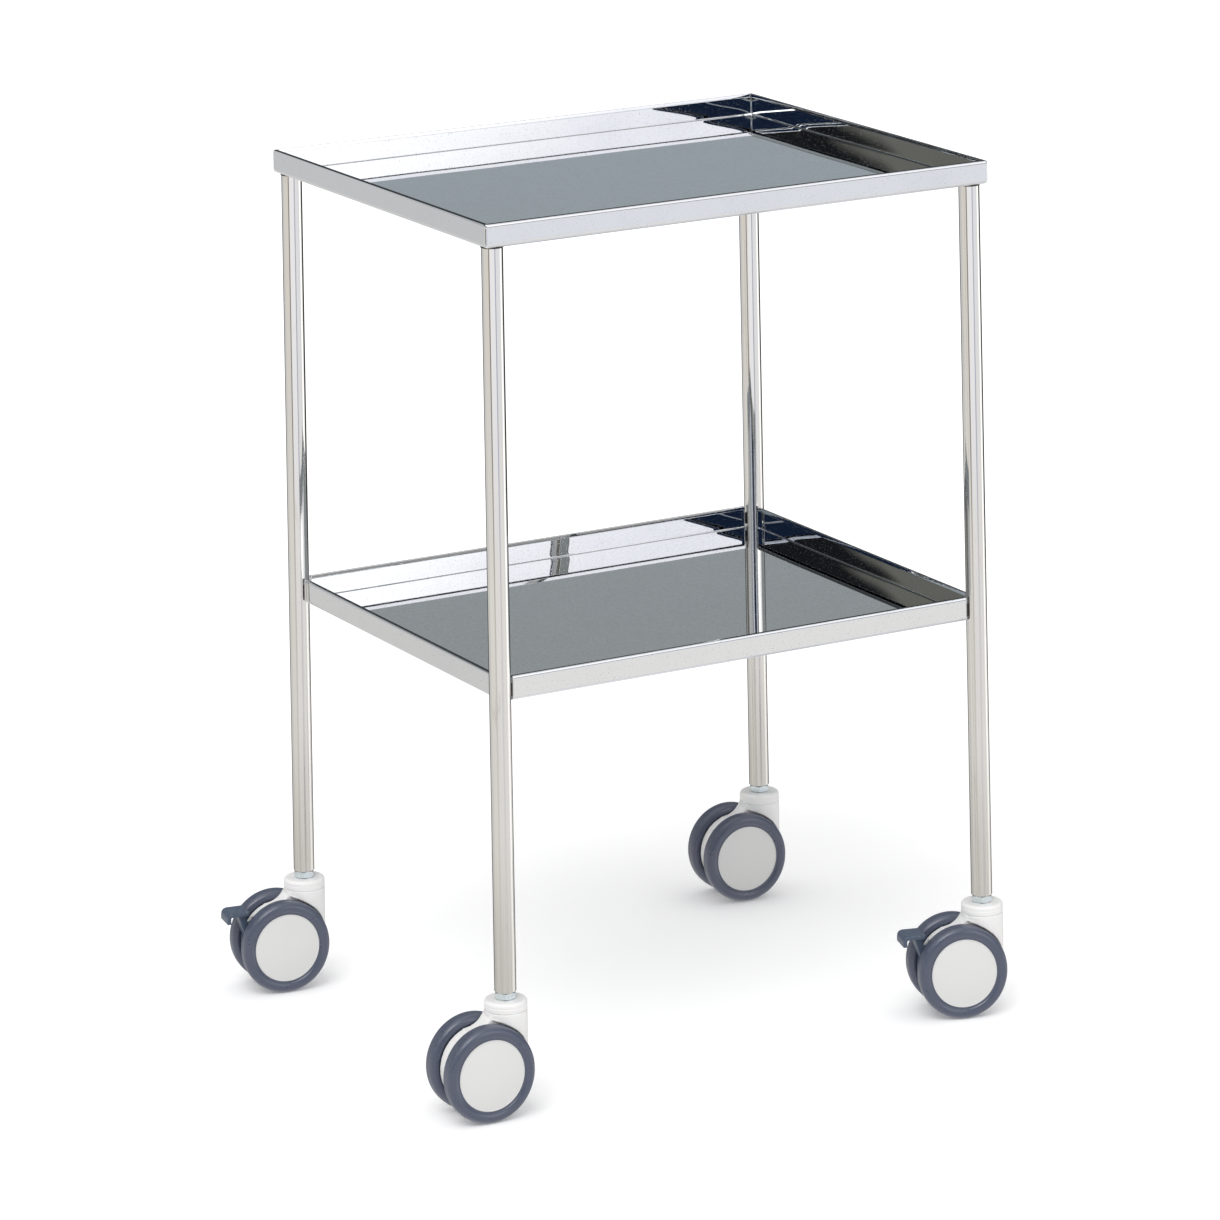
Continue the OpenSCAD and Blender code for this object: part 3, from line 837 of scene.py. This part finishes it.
def collar_flare(corner):
    """The web that flows from the round collar down to the flat body between the wheels.

    It is drawn with the swivel axis on Z and the caster trailing towards -X.
    """
    leg = middle("leg_" + corner)
    axle = middle("axle_" + corner)
    trail = math.hypot(leg.x - axle.x, leg.y - axle.y)
    collar_low, collar_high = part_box("swivel_cap_" + corner)
    tyre_low, tyre_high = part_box(f"tyre_{corner}_near")
    reach = (collar_high.x - collar_low.x) / 2 - 0.6 * MM
    steps = 48
    bm = bmesh.new()
    for i in range(steps):
        angle = 2 * math.pi * i / steps
        for drop in (4.6 * MM, 4.0 * MM):
            bm.verts.new((reach * math.cos(angle), reach * math.sin(angle), collar_low.z - drop))
    half_web = 10.7 * MM        # the foot is a thin slab as wide as the body, above the axle
    web_low = axle.z + 37 * MM
    web_high = axle.z + 38.5 * MM
    add_box(bm, (-trail - 3 * MM, -half_web, web_low), (-trail + 9 * MM, half_web, web_high))
    bmesh.ops.delete(bm, geom=list(bm.faces), context="FACES_ONLY")
    hull = bmesh.ops.convex_hull(bm, input=bm.verts)
    inside = [v for v in hull["geom_interior"] if isinstance(v, bmesh.types.BMVert)]
    bmesh.ops.delete(bm, geom=inside, context="VERTS")
    mesh = plain_mesh("flare", bm)
    well_r = (tyre_high.z - tyre_low.z) / 2 + WELL_GAP
    half_well = 20 * MM         # a well reaches from the body's face to past the wheel
    well_middle = 31 * MM
    wells = bmesh.new()
    across = Matrix.Rotation(math.radians(90), 3, "X")
    depth = [(0, -half_well), (well_r, -half_well), (well_r, half_well), (0, half_well)]
    for side in (-1, 1):
        lathe(wells, depth, (-trail, side * well_middle, axle.z), across, closed=False)
    return cut_away(mesh, wells)


def build_collar_cap(corner, material):
    """The cover on top of the collar: rounded edge, a fine groove, and the seam below it."""
    low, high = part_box("swivel_cap_" + corner)
    axis = (low + high) / 2
    radius = (high.x - low.x) / 2
    bore = STEM_RADIUS + 0.05 * MM
    hollow = bore + 5 * MM      # the radius and top of the hollow round the bearing
    hollow_top = low.z + 4 * MM
    edge = 3.2 * MM
    groove_low = low.z + 4.4 * MM
    groove = 0.3 * MM
    dimple = 0.4 * MM           # round the stem
    profile = [(hollow, low.z), (radius - 0.5 * MM, low.z), (radius - 0.15 * MM, low.z + 0.35 * MM)]
    profile += [(radius, low.z + 0.8 * MM), (radius, groove_low)]
    profile += [(radius - groove, groove_low + groove), (radius - groove, groove_low + 0.7 * MM)]
    profile += [(radius - groove / 2, groove_low + 1.0 * MM)]
    profile += arc(radius - 0.1 * MM - edge, high.z - edge, edge, 5, 90, 10)
    profile += [(bore + 2.5 * MM, high.z), (bore + 2 * MM, high.z - dimple), (bore, high.z - dimple)]
    profile += [(bore, hollow_top), (hollow, hollow_top)]
    bm = bmesh.new()
    lathe(bm, profile, (axis.x, axis.y, 0))
    cap = as_piece("collar_cap_" + corner, bm, material, "caster_" + corner)
    stand_for("swivel_cap_" + corner)


def build_caster(corner, materials):
    """A housing with its collar cap, two wheels, and on two corners a brake pedal."""
    node = "housing_" + corner
    name = "moulded_housing_" + corner
    housing = softened(node, name, corner, 0.75 * MM, 6, collar_flare(corner))
    build_moulding(node, name, housing, materials["white"], "caster_" + corner)
    build_collar_cap(corner, materials["white"])
    for side in SIDES:
        build_wheel(corner, side, materials)
    if corner in BRAKED:
        node = "brake_pedal_" + corner
        name = "moulded_pedal_" + corner
        pedal = softened(node, name, corner, 0.5 * MM, 3)
        build_moulding(node, name, pedal, materials["pedal"], "pedal_" + corner)


def finish_cad_nodes(materials):
    """Gives the CAD nodes that are still shown their material."""
    by_slot = {
        "tray_steel": materials["tray"],
        "leg_steel": materials["leg"],
        "weld": materials["weld"],
        "zinc_steel": materials["zinc"],
        "bearing_steel": materials["bearing"],
        "white_plastic": materials["white"],
        "tyre": materials["tyre"],
        "pedal_plastic": materials["pedal"],
    }
    for part in frame["record"]["subparts"]:
        node = frame["nodes"][part["node"]]
        if node.hide_render:
            continue
        node.data.materials.clear()
        node.data.materials.append(by_slot[part["material_slot"]])


# ---------------------------------------------------------------- studio

def build_world():
    """A white studio for the camera, and the room that polished steel mirrors.

    Directions are an azimuth, in degrees from +Y towards +X, and an elevation. The room is a
    pale floor, a grey wall and a light ceiling, with the cards of ROOM_CARDS laid over them.
    Matt surfaces are lit by a soft even world instead.
    """
    world = bpy.data.worlds.new("studio")
    bpy.context.scene.world = world
    world.use_nodes = True
    graph = Graph(world.node_tree)
    background = world.node_tree.nodes["Background"]
    direction = graph.add("ShaderNodeTexCoord").outputs["Generated"]
    x, y, z = graph.split(direction)
    azimuth = graph.math("DEGREES", graph.math("ARCTAN2", x, y))
    elevation = graph.math("DEGREES", graph.math("ARCSINE", z))
    colour = room_base(graph, elevation)
    for card in ROOM_CARDS:
        colour = add_card(graph, colour, azimuth, elevation, *card)
    path = graph.add("ShaderNodeLightPath")
    soft = graph.mix((0.84, 0.84, 0.85), (0.95, 0.95, 0.95), graph.blend(elevation, 0, 70))
    shown = graph.mix(colour, soft, path.outputs["Is Diffuse Ray"])
    shown = graph.mix(shown, (1.0, 1.0, 1.0), path.outputs["Is Camera Ray"])
    graph.put(background.inputs["Color"], shown)


def room_base(graph, elevation):
    """The room's colour by elevation alone: a pale floor, a grey wall, then a light ceiling."""
    floor_far = (0.66, 0.68, 0.74)
    floor_near = (0.84, 0.825, 0.80)
    floor_low = (0.76, 0.765, 0.79)
    floor_under = (1.15, 1.15, 1.15)
    wall = (0.34, 0.385, 0.415)
    wall_high = (0.31, 0.335, 0.345)
    ceiling = (0.86, 0.86, 0.87)
    colour = graph.mix(floor_under, floor_low, graph.blend(elevation, -66.0, -58.0))
    colour = graph.mix(colour, floor_near, graph.blend(elevation, -28.0, -22.0))
    colour = graph.mix(colour, floor_far, graph.blend(elevation, -15.5, -10.0))
    colour = graph.mix(colour, wall, graph.blend(elevation, -2.0, 1.0))
    colour = graph.mix(colour, wall_high, graph.blend(elevation, 10.0, 16.0))
    return graph.mix(colour, ceiling, graph.blend(elevation, 34.0, 62.0))


# Each card: middle azimuth, half its width, soft edge, lowest and highest elevation, soft edge, colour.
ROOM_CARDS = (
    # the front right: a white sheet, brighter to its right, over a dark skirting and the floor
    (150, 17, 3, 3, 42, 2, (1.16, 1.16, 1.22)),
    (165, 12, 2.5, 3, 42, 2, (1.75, 1.75, 1.75)),
    (165, 80, 3, -13.5, -1, 2, (0.85, 0.865, 0.91)),
    (150, 10, 3, -60, -13, 1, (0.89, 0.875, 0.86)),
    (165, 80, 3, -4.5, 2.5, 1.5, (0.34, 0.33, 0.32)),
    # the back: a dark gap above the grey wall and another below it
    (30, 42, 6, 18, 44, 1.5, (0.05, 0.055, 0.06)),
    (-22, 10, 2, 20, 44, 2, (0.05, 0.055, 0.06)),
    (25, 50, 5, -13, 6.5, 1.2, (0.03, 0.03, 0.03)),
    # the back left: olive, with a black end beside the camera's line, and mid grey below
    (-50, 20.3, 0.5, 7, 17.5, 2, (0.17, 0.17, 0.15)),
    (-50, 20.3, 0.5, 17.5, 40, 2, (0.012, 0.012, 0.013)),
    (-30.1, 1.5, 0.25, 7, 30, 2, (0.010, 0.011, 0.013)),
    (-30, 22, 6, -60, 0, 3, (0.63, 0.63, 0.635)),
    (-30, 22, 6, -60, -13, 1, (0.685, 0.68, 0.665)),
    (-24, 5, 1, -3, 16, 3, (0.63, 0.63, 0.635)),
    # the dark round the camera, with a pale surround
    (-143, 22, 3, -1, 30, 2, (0.72, 0.76, 0.86)),
    (-146, 12, 2, 1, 27, 2.5, (0.010, 0.020, 0.048)),
    # the left: a mid grey wall
    (-85, 22, 6, 2, 32, 5, (0.55, 0.56, 0.58)),
    # the floor at the left and in front, as the upright tubes show it
    (-80, 30, 3, -13.8, 0, 2, (0.76, 0.735, 0.69)),
    (-150, 27, 3, -13.8, -0.5, 2, (0.95, 0.95, 0.99)),
    # the floor's bright right side, then its dark end
    (106, 15, 3, -24, 0, 2, (1.3, 1.3, 1.3)),
    (64, 26, 3, -15.4, 2, 0.8, (0.05, 0.05, 0.048)),
    # thin dark stands beyond the floor
    (-116, 6, 2, -15, 2, 2, (0.27, 0.24, 0.20)),
    (179, 5, 2, -15, 2, 2, (0.42, 0.45, 0.58)),
)


def add_card(graph, colour, azimuth, elevation, middle_az, half, az_soft, low, high, el_soft, tint):
    """Lays one card over the room's colour. Its values are in the order of ROOM_CARDS."""
    offset = graph.math("WRAP", graph.math("SUBTRACT", azimuth, float(middle_az)), 180.0)
    offset.node.inputs[2].default_value = -180.0
    away = graph.math("ABSOLUTE", offset)
    across = graph.blend(away, half + az_soft, half - az_soft)
    over = graph.blend(elevation, low - el_soft, low + el_soft)
    under = graph.blend(elevation, high + el_soft, high - el_soft)
    amount = graph.math("MULTIPLY", across, graph.math("MULTIPLY", over, under))
    return graph.mix(colour, tint, amount)


def build_floor():
    """A plain pale floor. Polished steel sees the room's own floor instead."""
    bm = bmesh.new()
    bmesh.ops.create_circle(bm, cap_ends=True, segments=128, radius=40.0)
    material, graph, shader = start_material("pale_floor")
    seen = graph.add("ShaderNodeLightPath").outputs["Is Camera Ray"]
    cloud = graph.noise(graph.coordinates(), 2.0, 3.0)
    pale = graph.mix((0.93, 0.93, 0.93), (0.95, 0.95, 0.95), cloud)
    colour = graph.mix((0.84, 0.84, 0.84), pale, seen)
    glow = graph.math("MULTIPLY", seen, 0.14)
    settle(graph, shader, Base_Color=colour, Roughness=0.9, Specular_IOR_Level=0.0,
           Emission_Color=(1.0, 1.0, 1.0), Emission_Strength=glow)
    floor = linked("floor", plain_mesh("floor", bm))
    floor.data.materials.append(material)
    floor.visible_glossy = False


def build_lights():
    """One wide soft sun from the upper left, over the room's even light."""
    data = bpy.data.lights.new("key", "SUN")
    data.energy = 0.95
    data.angle = math.radians(35)
    lamp = linked("key", data)
    toward = Vector((0.75, 0.75, -1.45))
    lamp.rotation_euler = toward.to_track_quat("-Z", "Y").to_euler()


def build_camera():
    """The camera, with its film shift on only while it stands at its own place."""
    data = bpy.data.cameras.new("camera")
    data.lens = LENS_MM
    data.sensor_width = 36
    data.clip_start = 0.1
    data.clip_end = 100
    camera = linked("camera", data)
    camera.location = CAMERA_PLACE
    camera.rotation_euler = [math.radians(a) for a in (90, CAMERA_ROLL, -CAMERA_TURN)]
    bpy.context.scene.camera = camera
    driver = data.driver_add("shift_y").driver
    driver.type = "SCRIPTED"
    place = driver.variables.new()
    place.name = "place"
    place.type = "SINGLE_PROP"
    place.targets[0].id = camera
    place.targets[0].data_path = "location.x"
    tolerance = 0.5 * MM
    driver.expression = f"{FILM_SHIFT} if abs(place - ({CAMERA_PLACE[0]})) < {tolerance} else 0.0"


def build_studio():
    """The room, the floor, the light and the camera."""
    build_world()
    build_floor()
    build_lights()
    build_camera()
    bpy.context.scene.view_settings.view_transform = "Standard"


# ---------------------------------------------------------------- the cart

def build_cart():
    """Every piece of the cart, in its material."""
    materials = {
        "tray": tray_steel(),
        "leg": leg_steel(),
        "weld": weld_steel(),
        "zinc": zinc_steel(),
        "bearing": bearing_steel(),
        "white": white_plastic(),
        "cap": cap_plastic(),
        "tyre": tyre_rubber(),
        "pedal": pedal_plastic(),
    }
    build_top_tray(materials["tray"])
    build_corner_seams(materials["weld"])
    build_lower_tray(materials["tray"])
    build_top_welds(materials["weld"])
    build_stem_nuts(materials["zinc"])
    for corner in CORNERS:
        build_leg(corner, materials["leg"])
        build_caster(corner, materials)
    finish_cad_nodes(materials)


build_cart()
build_studio()
